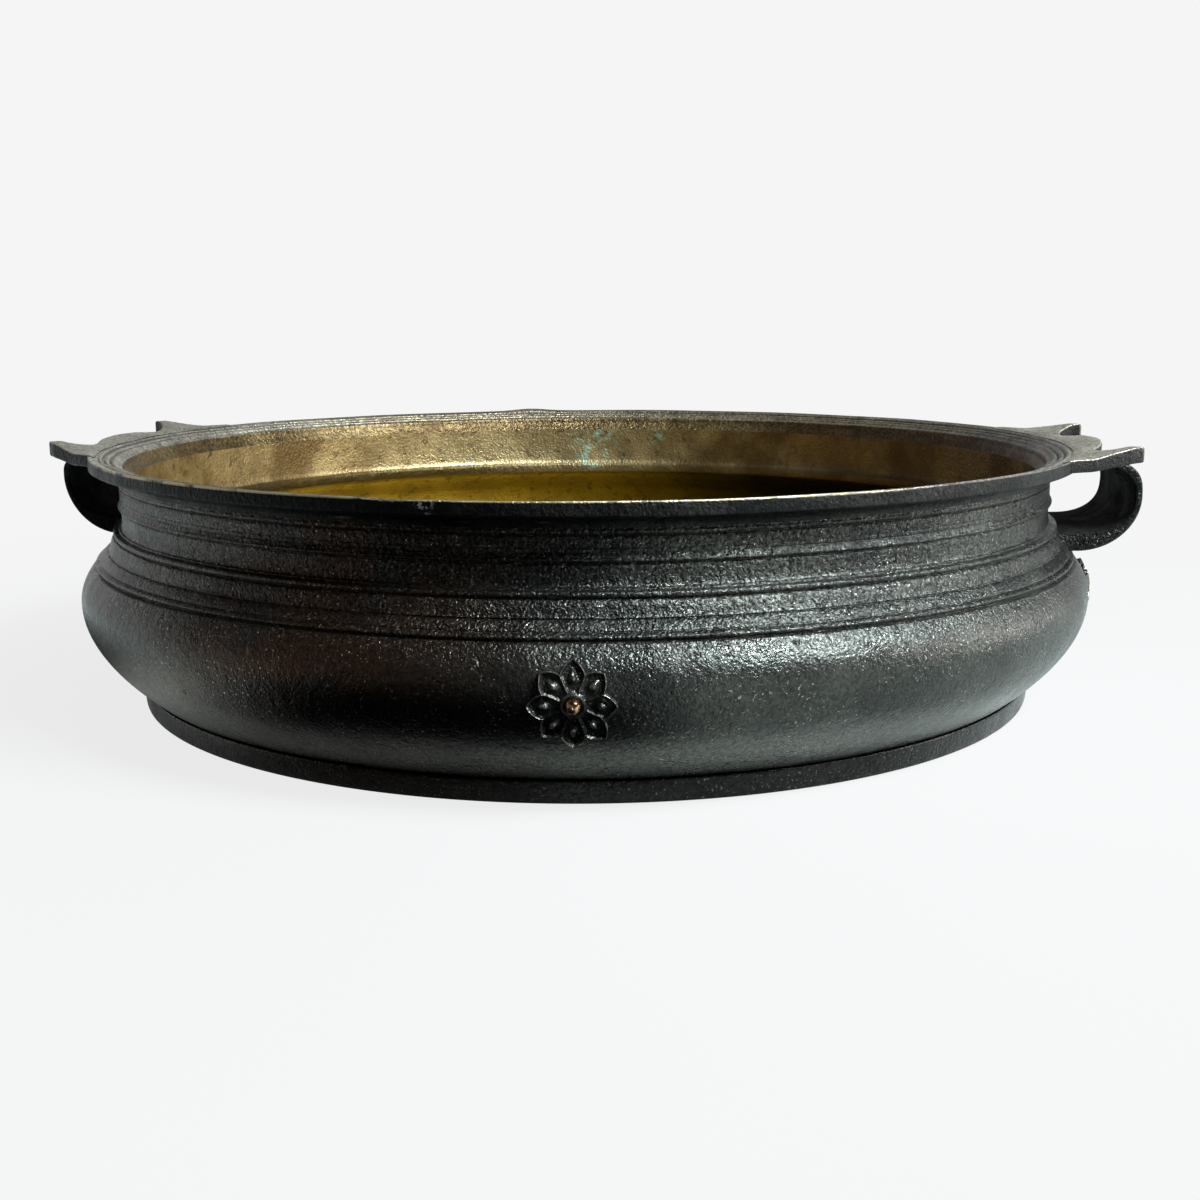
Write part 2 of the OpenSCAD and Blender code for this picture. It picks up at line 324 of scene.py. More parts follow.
def plate_edge(horn_reach):
    """How far an ear plate reaches at each distance along the rim from its middle: arrays (along, reach)."""
    length = (horn_reach - RIM_R) / FULL_HORN
    lobe = arc(LOBE, LOBE_R, 0, LOBE_TURN, 18)
    scallop = arc(SCALLOP, SCALLOP_R, NOTCH_TURN, HORN_END_TURN, 26)
    end, side = scallop[-1], HORN_SIDE
    squared = [(end[0] + 0.15, end[1] + 0.25), (end[0] - 0.3, end[1] + 0.6)]
    across = [(end[0] + (side[0] - end[0]) * f, end[1] + (side[1] - end[1]) * f) for f in (0.3, 0.5, 0.7)]
    shoulder = [(side[0] + 0.35, side[1] - 0.45), side, (side[0] - 1.0, side[1] + 0.6)]
    beyond = np.array(lobe + scallop + squared + across + shoulder)
    outline = np.stack([RIM_R + length * beyond[:, 0], beyond[:, 1]], 1)
    root = np.array([RIM_R * math.cos(PLATE_ANGLE), RIM_R * math.sin(PLATE_ANGLE)])
    run = outline[-1] + (root - outline[-1]) * np.linspace(0.15, 1, 12)[:, None]
    reach, along = np.concatenate([outline, run]).T
    return along, reach


def plate_section(u_in, u_out):
    """A section across an ear plate, with a round nose: points (u, z), closed."""
    room = max(u_out - u_in, 0.4)
    edge = min(1.0, 0.45 * room)
    flat = u_in + (room - edge) * np.linspace(0, 1, 11)
    top = [(u, PLATE_Z + PLATE_T) for u in flat[:-1]]
    nose, high = flat[-1], PLATE_Z + PLATE_T - edge
    upper = [(nose + edge * math.cos(t), high + edge * math.sin(t)) for t in QUARTER[::-1]]
    lower = [(nose + edge * math.cos(t), PLATE_Z + edge - edge * math.sin(t)) for t in QUARTER]
    return top + upper + lower + [(u, PLATE_Z) for u in flat[-2::-1]]


def make_plate(side, material):
    """An ear plate, level with the rim: one section across it for each distance along the rim."""
    name = "right" if side > 0 else "left"
    low, high = node_box("ear_plate_" + name)
    horn_reach = max(abs(low.x), abs(high.x))
    along, reach = plate_edge(horn_reach)
    along, reach = np.concatenate([-along[:0:-1], along]), np.concatenate([reach[:0:-1], reach])
    inner = np.sqrt((RIM_R - 3.5) ** 2 - along ** 2)
    points = np.array([
        (u, w, z) for w, u_in, u_out in zip(along, inner, reach) for u, z in plate_section(u_in, u_out)
    ])
    columns = len(points) // len(along)
    u, w, z = points.T
    in_top = np.clip((z - PLATE_Z) / PLATE_T, 0, 1)
    out = np.clip((u - (RIM_R - 8)) / (horn_reach - RIM_R + 8), 0, 1)
    horn = np.clip((np.abs(w) - 44) / 20, 0, 1) * np.minimum(1, 1.25 * out) ** 1.2
    lobe = np.clip((38 - np.abs(w)) / 16, 0, 1) * np.clip(np.hypot(u, w) - RIM_R, 0, 12) / 12
    dish = RIM_DISH * np.clip(RIM_R - np.hypot(u, w), 0, 9) / RIM_W
    points[:, 2] += (HORN_CURL + HORN_THICKER * in_top) * horn + LOBE_CURL * lobe
    points[:, 2] += 0.12 * np.sin(u / 5 + w / 7) + in_top * (0.12 - dish)
    faces = grid_faces(len(along), columns, wrap_columns=True)
    if side < 0:
        points[:, 0] *= -1
        faces = [face[::-1] for face in faces]
    return build("handle_plate_" + name, points, faces, material, "rim_brass", "ear_plate_" + name, sharp=45)


LOOP_DEPTH, LOOP_T, LOOP_T_TOP, LOOP_T_LOW = 30.0, 3.9, 3.4, 9.6
LOOP_WIDE = {"right": 101.0, "left": 108.0}
TOP_END_R, BURIED_R = 241.0, 240.0


def loop_arc(centre, half, power, turns):
    c, s = np.cos(turns), np.sin(turns)
    return np.stack([
        centre[0] + half[0] * np.sign(c) * np.abs(c) ** (2 / power),
        centre[1] + half[1] * np.sign(s) * np.abs(s) ** (2 / power),
    ], 1)


def loop_line(centre, depth, top, low, powers):
    """One face of a strap, in section: from under the plate, round the outside, to its lowest point."""
    upper = loop_arc(centre, (depth, top - centre[1]), powers[0], np.radians(np.linspace(90, 0, 30)))
    lower = loop_arc(centre, (depth, centre[1] - low), powers[1], np.radians(np.linspace(0, -90, 50)))
    return np.concatenate([upper, lower[1:]])


def strap_section(half_w, half_t):
    """Points (w, s) of a rounded box across a strap. The second half is the face that fingers touch."""
    soft = min(1.5, half_t * 0.85)
    back = QUARTER[::-1]
    corners = []
    for side_w, side_s, turns in ((1, 1, QUARTER), (-1, 1, back), (-1, -1, QUARTER), (1, -1, back)):
        for t in turns:
            w, s = half_w - soft + soft * math.cos(t), half_t - soft + soft * math.sin(t)
            corners.append((side_w * w, side_s * s))
    section = []
    for (w, s), (w_next, _) in zip(corners, corners[1:] + corners[:1]):
        section.append((w, s))
        if abs(w_next - w) > 20:
            section += [(w + (w_next - w) * g, s) for g in np.linspace(0, 1, 26)[1:-1]]
    return section


def strap_stations(name, low_z, reach):
    """Places along a strap: its inner and outer point, and how much it bends to follow the bowl there."""
    centre, top = (reach - LOOP_DEPTH, LOOP_WIDE[name]), PLATE_Z + 1.3
    outer = loop_line(centre, LOOP_DEPTH, top, low_z, (3.0, 2.0))
    inner = loop_line(centre, LOOP_DEPTH - LOOP_T, top - LOOP_T_TOP, low_z + LOOP_T_LOW, (2.5, 2.5))
    stations = [(a, b, 0.0, 0.0) for a, b in zip(inner, outer)]
    top_run, low_run = [], []
    for g in np.linspace(0, 1, 9)[1:]:
        top_u, low_u = centre[0] + (TOP_END_R - centre[0]) * g, centre[0] * (1 - g)
        top_run.append((np.array([top_u, top - LOOP_T_TOP]), np.array([top_u, top]), g, 0.0))
        inner_u, outer_u = (low_u + (neck_middle(z) * g) for z in (low_z + LOOP_T_LOW, low_z))
        low_run.append((np.array([inner_u, low_z + LOOP_T_LOW]), np.array([outer_u, low_z]), g, g))
    return top_run[::-1] + stations + low_run


def neck_middle(z):
    """The radius of the middle of the wall, where a strap's lower end is buried."""
    return 244.7 - 0.64 * (z - 72.7)


def make_strap(side, material, finger_shade_material):
    """A strap loop: a flat band with soft edges that curls out from under the plate and back to the neck."""
    name = "right" if side > 0 else "left"
    low, high = node_box("strap_loop_" + name)
    stations = strap_stations(name, low.z, max(abs(low.x), abs(high.x)))
    half_w = (high.y - low.y) / 2 - 0.8
    points = []
    for i, (inner, outer, bend, foot) in enumerate(stations):
        middle, across = (inner + outer) / 2, (outer - inner) / 2
        half_t = np.hypot(*across)
        for w, s in strap_section(half_w + 2.0 * foot ** 2, half_t):
            u, z = middle + across * s / half_t
            u += bend * (math.sqrt(BURIED_R ** 2 - w ** 2) - BURIED_R)
            wave = (1 - bend) * (0.18 * math.sin(w / 8 + i / 9) + 0.10 * math.sin(w / 3.5 - i / 6))
            points.append((side * (u + wave), w, min(z, PLATE_Z + 0.6)))
    columns = len(points) // len(stations)
    faces = grid_faces(len(stations), columns, wrap_columns=True)
    faces.append(tuple(range(columns))[::-1])
    faces.append(tuple(len(points) - columns + k for k in range(columns)))
    if side > 0:
        faces = [face[::-1] for face in faces]
    node = "strap_loop_" + name
    strap = build("handle_strap_" + name, points, faces, material, "aged_brass", node, sharp=50)
    # The faces inside the loop get the black material: painted shade.
    strap.data.materials.append(finger_shade_material)
    for face in strap.data.polygons[:-2]:
        if face.index % columns >= columns // 2:
            face.material_index = 1
    return strap


# ---------------------------------------------------------------- rosettes

PETALS = 8
PETAL_TIP, PETAL_NOTCH = 17.8, 12.6
PETAL_FLOOR, EDGE_H, EDGE_W = 0.25, 2.0, 1.05
BEAD_R, BEAD_H = 2.9, 2.6


def rosette_height(r, off, share, r_edge):
    """The height above the belly: an outlined petal with a teardrop boss, lines between petals, and a hub.

    off is the angle from the nearest petal's middle, and share how far out the point is, from 0 to 1."""
    inward = (1 - share) * r_edge
    edge = EDGE_H * np.exp(-(((inward - 0.75) / (EDGE_W * 0.55)) ** 2))
    between = r * np.sin(math.pi / PETALS - np.abs(off))
    line = 0.75 * np.exp(-((between / 0.55) ** 2)) * np.clip((r - 4) / 2, 0, 1)
    x, y = r * np.cos(off) - 10.9, r * np.sin(off)
    taper = 1.25 - 0.22 * np.clip(x, -2, 2.5)
    boss = 1.6 * np.exp(-((x / 2.0) ** 2 + (y / taper) ** 2) ** 1.6)
    hub = 0.9 * np.exp(-(((r - 4.3) / 0.9) ** 2)) + 0.7 * np.clip(1 - r / 4.5, 0, 1)
    hollow = -0.25 * np.exp(-(((r - 7.2) / 1.8) ** 2))
    raised = np.maximum.reduce([edge, line * 1.3, boss, hub])
    height = PETAL_FLOOR + raised + hollow
    height = np.where(share > 0.965, height * (1 - share) / 0.035 - 0.8 * (share - 0.965) / 0.035, height)
    return height, np.clip(raised / 1.1, 0, 1)


def belly_normal(z):
    """Outward and upward parts of the belly's normal at height z."""
    curve = np.where(z < BELLY_Z, CURVE_LOW, CURVE_HIGH)
    slope = -2 * curve * (z - BELLY_Z)
    length = np.sqrt(1 + slope ** 2)
    return 1 / length, -slope / length


def make_rosette(name, angle, material, seed):
    """One rosette, laid on the belly with its centre towards angle."""
    random = np.random.default_rng(seed)
    tips = PETAL_TIP * (1 + 0.035 * random.uniform(-1, 1, PETALS))
    around = np.arange(PETALS * 48) * 2 * math.pi / (PETALS * 48)
    step = 2 * math.pi / PETALS
    petal = np.round((around - math.pi / 2) / step).astype(int)
    off = around - math.pi / 2 - petal * step
    narrow = np.abs(off) / (step / 2)
    r_edge = PETAL_NOTCH + (tips[petal % PETALS] - PETAL_NOTCH) * (1 - narrow) ** 0.75
    share = np.concatenate([np.linspace(0.04, 0.78, 44), np.linspace(0.78, 1, 26)[1:]])
    r = share[:, None] * r_edge[None, :]
    height, rubbed = rosette_height(r, off[None, :], share[:, None], r_edge[None, :])
    grain = 0.06 * np.sin(r * 5 + 3 * around[None, :]) * np.sin(around[None, :] * 31)
    x, z = r * np.cos(around), ROSETTE_Z + r * np.sin(around)
    out, up = belly_normal(z)
    lift = height + grain
    turn = math.radians(angle) + x / BELLY_R
    radius = belly(z) + out * lift
    points = np.stack([radius * np.cos(turn), radius * np.sin(turn), z + up * lift], 2).reshape(-1, 3)
    centre_r = float(belly(ROSETTE_Z)) + 1.0
    centre = (centre_r * math.cos(math.radians(angle)), centre_r * math.sin(math.radians(angle)), ROSETTE_Z)
    faces = grid_faces(len(share), len(around), wrap_columns=True)
    faces += [(len(points), j, (j + 1) % len(around)) for j in range(len(around))]
    points = np.vstack([points, centre])
    faces = [face[::-1] for face in faces]
    node = "rosette_" + name
    rosette = build("rosette_petals_" + name, points, faces, material, "aged_brass", node, sharp=70)
    raised = rosette.data.attributes.new("raised", "FLOAT", "POINT")
    raised.data.foreach_set("value", np.append(rubbed.ravel(), 0.0))
    return rosette


def make_bead(name, angle, material, seed):
    """The round bead in the middle of a rosette: a worn, slightly flattened dome on a short shank."""
    random = np.random.default_rng(seed)
    turns = np.arange(48) * 2 * math.pi / 48
    rise = np.radians(np.linspace(90, -35, 24))
    phase = random.uniform(0, 6, 3)
    bump = 1 + 0.04 * np.sin(2 * turns + phase[0]) + 0.03 * np.sin(3 * turns + phase[1])
    r = BEAD_R * np.cos(rise)[:, None] * bump[None, :]
    h = 1.9 + BEAD_H * np.sin(rise)[:, None] * (1 + 0.04 * np.sin(turns + phase[2])[None, :])
    surface = float(belly(ROSETTE_Z))
    a = math.radians(angle)
    x, z = r * np.cos(turns), ROSETTE_Z + r * np.sin(turns)
    radial = surface + h
    points = np.stack([
        radial * math.cos(a) - x * math.sin(a), radial * math.sin(a) + x * math.cos(a), z + 0 * h,
    ], 2).reshape(-1, 3)
    faces = grid_faces(len(rise), len(turns), wrap_columns=True)
    faces.append(tuple(len(points) - len(turns) + j for j in range(len(turns))))
    return build("rosette_bead_" + name, points, faces, material, "worn_brass", "bead_" + name, sharp=60)


# ---------------------------------------------------------------- materials

class Shader:
    """Short calls for the nodes of one material, or of the world."""

    def __init__(self, owner, place="Object"):
        self.owner = owner
        owner.use_nodes = True
        self.tree = owner.node_tree
        self.tree.nodes.clear()
        self.place = self.node("ShaderNodeTexCoord").outputs[place]

    def node(self, kind, inputs=None, **settings):
        made = self.tree.nodes.new(kind)
        for key, value in settings.items():
            setattr(made, key, value)
        for key, value in (inputs or {}).items():
            if isinstance(value, bpy.types.NodeSocket):
                self.tree.links.new(value, made.inputs[key])
            else:
                made.inputs[key].default_value = value
        return made

    def noise(self, scale, detail=4.0, rough=0.55, stretch=None, distortion=0.0):
        where = self.place
        if stretch:
            where = self.node("ShaderNodeMapping", {"Vector": where, "Scale": stretch}).outputs[0]
        inputs = {"Vector": where, "Scale": scale, "Detail": detail, "Roughness": rough}
        inputs["Distortion"] = distortion
        return self.node("ShaderNodeTexNoise", inputs).outputs["Fac"]

    def ramp(self, value, low, high, from_value=0.0, to_value=1.0):
        """Maps value from low..high to from_value..to_value, smoothly, and holds it at the ends."""
        inputs = {"Value": value, "From Min": low, "From Max": high, "To Min": from_value, "To Max": to_value}
        return self.node("ShaderNodeMapRange", inputs, interpolation_type="SMOOTHSTEP").outputs["Result"]

    def maths(self, operation, first, *others):
        """Joins two or more values with one operation."""
        for other in others:
            first = self.node("ShaderNodeMath", {0: first, 1: other}, operation=operation).outputs[0]
        return first

    def times(self, *values):
        return self.maths("MULTIPLY", *values)

    def vector(self, operation, *inputs):
        """The outputs of a vector maths node: 0 is its vector, and "Value" its number."""
        return self.node("ShaderNodeVectorMath", dict(enumerate(inputs)), operation=operation).outputs

    def mix(self, share, a, b):
        made = self.tree.nodes.new("ShaderNodeMix")
        made.data_type = "RGBA"
        for number, value in ((0, share), (6, a), (7, b)):
            if isinstance(value, bpy.types.NodeSocket):
                self.tree.links.new(value, made.inputs[number])
            else:
                made.inputs[number].default_value = value if number == 0 else (*value, 1.0)
        return made.outputs[2]

    def near(self, point, reach, soft):
        """1 near a point in metres, falling to 0 between reach - soft and reach + soft."""
        away = self.vector("DISTANCE", self.place, point)["Value"]
        return self.ramp(away, reach - soft, reach + soft, 1.0, 0.0)

    def towards(self, azimuth, low, high):
        """0 to 1 as the way from the Z axis to a point, seen from above, turns to an azimuth in degrees."""
        way = self.vector("NORMALIZE", self.flat())[0]
        a = math.radians(azimuth)
        cosine = self.vector("DOT_PRODUCT", way, (math.cos(a), math.sin(a), 0))["Value"]
        return self.ramp(cosine, math.cos(math.radians(low)), math.cos(math.radians(high)))

    def axis(self, name):
        return self.node("ShaderNodeSeparateXYZ", {0: self.place}).outputs[name]

    def flat(self):
        """The place, without its height."""
        return self.vector("MULTIPLY", self.place, (1, 1, 0))[0]

    def radius(self):
        """Distance from the Z axis, in metres."""
        return self.vector("LENGTH", self.flat())["Value"]

    def grain(self, colour, depth, scale=620):
        """Darkens a colour between pebbles, so that the casting's grain shows in flat light too."""
        gaps = self.ramp(self.noise(scale, 2, 0.55, distortion=0.5), 0.38, 0.60, 1.0, 0.0)
        return self.mix(self.times(gaps, depth), colour, (0.004, 0.004, 0.004))

    def worn(self, low=0.52, high=0.60):
        """1 on edges that hands have rubbed."""
        point = self.node("ShaderNodeNewGeometry").outputs["Pointiness"]
        return self.ramp(point, low, high)

    def bump(self, parts):
        """Stacks (height, strength, distance in metres) bumps."""
        normal = None
        for height, strength, distance in parts:
            inputs = {"Height": height, "Strength": strength, "Distance": distance}
            if normal is not None:
                inputs["Normal"] = normal
            normal = self.node("ShaderNodeBump", inputs).outputs["Normal"]
        return normal

    def finish(self, colour, roughness, metallic, normal, specular=0.5):
        inputs = {"Base Color": colour, "Roughness": roughness, "Metallic": metallic, "Normal": normal}
        inputs["Specular IOR Level"] = specular
        return self.output(self.node("ShaderNodeBsdfPrincipled", inputs), "ShaderNodeOutputMaterial")

    def output(self, shader, kind):
        self.tree.links.new(shader.outputs[0], self.node(kind).inputs["Surface"])
        return self.owner


ALL_SOOT = 1.0


def patina_material(name, soot=0.0, rubbed=False):
    """The outside: an almost black, pebbled casting, brown and grey in patches, rubbed on its beads, pale low
    on the belly with ash and a painted sheen, and crossed in front by a painted dark band.

    soot is how far it is darkened towards soot black, and full soot isn't metal; on the foot and the straps
    this darkening is soot and painted shade. rubbed brightens what "raised" marks."""
    s = Shader(bpy.data.materials.new(name))
    patches = s.ramp(s.noise(9, 5, 0.6), 0.38, 0.66)
    colour = s.mix(patches, (0.044, 0.045, 0.041), (0.098, 0.099, 0.088))
    red_spot = s.near((-0.080, -0.244, 0.070), 0.060, 0.060)
    red = s.times(red_spot, s.ramp(s.noise(30, 4), 0.25, 0.55))
    colour = s.mix(red, colour, (0.085, 0.043, 0.026))
    height = s.axis("Z")
    # Low on the belly the colour turns pale, less so to the right: partly ash, partly a painted sheen
    # standing in for the floor's reflection.
    low = s.times(s.ramp(height, 0.0105, 0.0150), s.ramp(height, 0.024, 0.038, 1.0, 0.0))
    ash_and_painted_sheen = s.times(low, s.ramp(s.noise(38, 4), 0.12, 0.50))
    ash_and_painted_sheen = s.times(ash_and_painted_sheen, s.ramp(s.axis("X"), 0.080, 0.200, 1.0, 0.5))
    colour = s.mix(s.times(ash_and_painted_sheen, 0.62), colour, (0.185, 0.190, 0.168))
    # A painted dark band across the front of the belly: painted shade standing in for a dark reflection.
    band = s.times(s.ramp(height, 0.026, 0.036), s.ramp(height, 0.044, 0.056, 1.0, 0.0))
    band = s.times(band, s.towards(-100, 28, 15))
    colour = s.mix(s.times(band, 0.75), colour, (0.004, 0.005, 0.005))
    colour = s.grain(colour, s.ramp(height, 0.060, 0.074, 0.42, 0.74))
    dust = s.times(s.ramp(s.noise(900, 2, 0.5), 0.64, 0.70), s.ramp(s.noise(60, 3), 0.36, 0.58))
    colour = s.mix(dust, colour, (0.40, 0.38, 0.33))
    colour = s.mix(s.times(s.worn(0.515, 0.60), 0.6), colour, (0.26, 0.25, 0.22))
    flakes = s.mix(s.ramp(s.noise(240, 4, 0.65), 0.40, 0.62), (0.001, 0.001, 0.002), (0.010, 0.009, 0.008))
    # Soot darkening: on the foot and the straps it is painted shade as well as soot.
    colour = s.mix(s.ramp(s.noise(50, 3), 0.1, 0.5, soot, soot * soot), colour, flakes)
    if rubbed:
        raised = s.node("ShaderNodeAttribute", attribute_name="raised").outputs["Fac"]
        wear = s.times(s.ramp(raised, 0.70, 1.0, 0.0, 0.75), s.ramp(s.noise(330, 3), 0.40, 0.60))
        colour = s.mix(s.ramp(raised, 0.10, 0.40, 0.30, 0.0), colour, (0.012, 0.012, 0.012))
        colour = s.mix(wear, colour, (0.36, 0.33, 0.28))
    roughness = s.ramp(s.noise(45, 4), 0.3, 0.7, 0.24, 0.36)
    normal = s.bump(pebbles(s, s.ramp(height, 0.058, 0.074, 0.38, 0.72)))
    if soot == ALL_SOOT:
        matt = s.ramp(s.noise(70, 4), 0.3, 0.7, 0.62, 0.86)
        return s.finish(colour, matt, 0.0, normal, specular=0.12)
    return s.finish(colour, roughness, 0.85, normal)


def pebbles(s, strength):
    """The grain of a rough casting, as bumps: soft dents, pebbles about 1 mm wide, and a few pits."""
    dents = s.noise(130, 3, 0.5)
    coarse = s.noise(680, 2, 0.5, distortion=0.6)
    fine = s.noise(1100, 2, 0.6)
    pits = s.ramp(s.noise(260, 2, 0.4), 0.26, 0.34)
    rough = s.times(strength, 0.95)
    return [
        (dents, 0.40, 0.0014), (coarse, rough, 0.0012),
        (fine, strength, 0.0005), (pits, strength, 0.0008),
    ]


def rim_material():
    """The rim and ear plates: grey-tan above, dark on their edges, brown inside, bright on rubbed corners,
    with painted light on the left, painted shade on the front-left edges and inside to the right, and a
    painted highlight along the front edge.
    """
    s = Shader(bpy.data.materials.new("handled_rim"))
    patches = s.ramp(s.noise(22, 5, 0.6), 0.35, 0.65)
    colour = s.mix(patches, (0.25, 0.23, 0.20), (0.42, 0.385, 0.34))
    stain = s.times(s.ramp(s.noise(75, 4, 0.65), 0.50, 0.64), 0.7)
    colour = s.mix(stain, colour, (0.13, 0.108, 0.085))
    colour = s.mix(s.ramp(s.noise(16, 2), 0.55, 0.72), colour, (0.40, 0.31, 0.25))
    colour = s.mix(s.times(s.towards(96, 85, 35), 0.7), colour, (0.42, 0.33, 0.20))
    at_plate = s.maths("MAXIMUM", s.towards(0, 25, 22), s.towards(180, 25, 22))
    bare_and_painted_light = s.times(at_plate, 0.72, s.ramp(s.radius(), 0.240, 0.250))
    # The left of the rim is lightened too: painted light, on top of the bare, hand-rubbed metal at the
    # plates.
    bare_and_painted_light = s.maths("MAXIMUM", bare_and_painted_light, s.times(s.towards(185, 58, 30), 0.55))
    colour = s.mix(bare_and_painted_light, colour, (0.82, 0.74, 0.60))
    facing = s.node("ShaderNodeNewGeometry").outputs["Normal"]
    upward = s.node("ShaderNodeSeparateXYZ", {0: facing}).outputs["Z"]
    # Faces that don't face up get a dark colour; at the front left they go near black, which is painted
    # shade.
    side = s.mix(patches, (0.015, 0.015, 0.014), (0.036, 0.035, 0.031))
    side = s.mix(s.times(s.towards(-138, 52, 32), 0.80), side, (0.004, 0.004, 0.004))
    colour = s.mix(s.ramp(upward, 0.25, 0.65), side, colour)
    brown = s.mix(patches, (0.13, 0.082, 0.032), (0.26, 0.182, 0.082))
    # The brown darkens to the right: painted shade, as inside the bowl.
    brown = s.mix(s.ramp(s.axis("X"), 0.030, 0.170, 0.0, 0.60), brown, (0.060, 0.032, 0.018))
    colour = s.mix(s.ramp(s.radius(), 0.2337, 0.2350, 1.0, 0.0), colour, brown)
    colour = s.grain(colour, 0.55, 560)
    seam = s.times(at_plate, s.ramp(s.radius(), 0.2515, 0.2535, 1.0, 0.0))
    away_from_seam = s.maths("SUBTRACT", 1.0, seam)
    rubbed = s.ramp(s.axis("Z"), 0.1195, 0.1215, 0.10, 0.62)
    on_plate = s.ramp(at_plate, 0.0, 1.0, 1.0, 0.45)
    worn = s.times(s.worn(0.515, 0.565), rubbed, away_from_seam, on_plate)
    colour = s.mix(worn, colour, (0.80, 0.70, 0.50))
    # A painted highlight along the front of the rim's outer top edge, broken up by noise.
    corner = s.times(s.ramp(s.radius(), 0.2480, 0.2490), s.ramp(s.axis("Z"), 0.1216, 0.1223))
    corner = s.times(corner, s.towards(-102, 52, 30), s.ramp(s.noise(90, 3), 0.30, 0.50))
    colour = s.mix(s.times(corner, 0.8), colour, (0.80, 0.68, 0.44))
    nick = s.near((-0.0332, -0.2478, 0.1205), 0.0028, 0.0020)
    nick = s.times(nick, s.ramp(s.noise(420, 2), 0.50, 0.58))
    colour = s.mix(s.times(nick, 0.7), colour, (0.74, 0.70, 0.64))
    normal = s.bump([(s.noise(110, 3), 0.35, 0.0009), (s.noise(520, 3, 0.6), 0.85, 0.0009)])
    roughness = s.ramp(s.noise(60, 4), 0.3, 0.7, 0.34, 0.52)
    return s.finish(colour, roughness, 0.85, normal)


def inside_material():
    """The inside: brown turned brass, olive gold below the bead, with painted light on the back wall at the
    left, painted shade darker to the right, and the bead darkened most at the left as painted shade.
    """
    s = Shader(bpy.data.materials.new("inside_brass"))
    height, across = s.axis("Z"), s.axis("X")
    clouds = s.ramp(s.noise(26, 5, 0.62), 0.34, 0.66)
    wall = s.mix(clouds, (0.150, 0.092, 0.034), (0.355, 0.255, 0.115))
    # A brighter patch on the back wall at the left: painted light.
    wall = s.mix(s.near((-0.072, 0.218, 0.100), 0.075, 0.060), wall, (0.40, 0.30, 0.155))
    # Darker to the right: painted shade, not a stain.
    wall = s.mix(s.ramp(across, 0.030, 0.150, 0.0, 0.50), wall, (0.060, 0.032, 0.018))
    below = s.mix(clouds, (0.29, 0.21, 0.036), (0.43, 0.31, 0.062))
    # The gold below the bead also darkens to the right: painted shade.
    below = s.mix(s.ramp(across, -0.030, 0.110, 0.0, 0.86), below, (0.018, 0.012, 0.004))
    colour = s.mix(s.ramp(height, 0.0795, 0.0815), below, wall)
    bead = s.times(s.ramp(height, 0.0812, 0.0822), s.ramp(height, 0.0872, 0.0886, 1.0, 0.0))
    # The ledge bead is darkened, most at the left: painted shade that dims its highlight.
    colour = s.mix(s.times(bead, s.ramp(across, -0.12, 0.00, 1.0, 0.35)), colour, (0.052, 0.034, 0.008))
    freckles = s.ramp(s.noise(150, 4, 0.7), 0.54, 0.66)
    colour = s.mix(s.times(freckles, 0.7), colour, (0.10, 0.065, 0.030))
    specks = s.ramp(s.noise(700, 3, 0.7), 0.56, 0.68)
    colour = s.mix(s.times(specks, 0.6), colour, (0.07, 0.048, 0.025))
    stain = s.near((-0.018, 0.2300, 0.105), 0.012, 0.009)
    drip = s.near((-0.021, 0.2300, 0.095), 0.009, 0.007)
    dot = s.near((0.024, 0.2300, 0.106), 0.004, 0.004)
    green = s.times(s.maths("MAXIMUM", stain, drip, dot), s.ramp(s.noise(170, 4, 0.6), 0.46, 0.58))
    colour = s.mix(green, colour, (0.36, 0.52, 0.40))
    spun = s.noise(1.0, 3, 0.6, stretch=(12, 12, 900))
    normal = s.bump([(s.noise(140, 3), 0.30, 0.0009), (spun, 0.18, 0.0005), (s.noise(620, 2), 0.60, 0.0008)])
    roughness = s.ramp(s.noise(60, 4), 0.3, 0.7, 0.36, 0.55)
    return s.finish(colour, roughness, 0.85, normal)


def bead_material():
    """The beads: brass rubbed bright, with dark casting pits."""
    s = Shader(bpy.data.materials.new("worn_bead"))
    pits = s.ramp(s.noise(420, 3, 0.6), 0.46, 0.58)
    colour = s.mix(pits, (0.085, 0.042, 0.026), (0.78, 0.49, 0.27))
    normal = s.bump([(s.noise(600, 3), 0.6, 0.0005)])
    return s.finish(colour, s.ramp(s.noise(400, 2), 0.3, 0.7, 0.22, 0.40), 0.95, normal)


FLOOR_SHADOW = 0.12
PAPER_WHITE = (0.913, 0.913, 0.913)


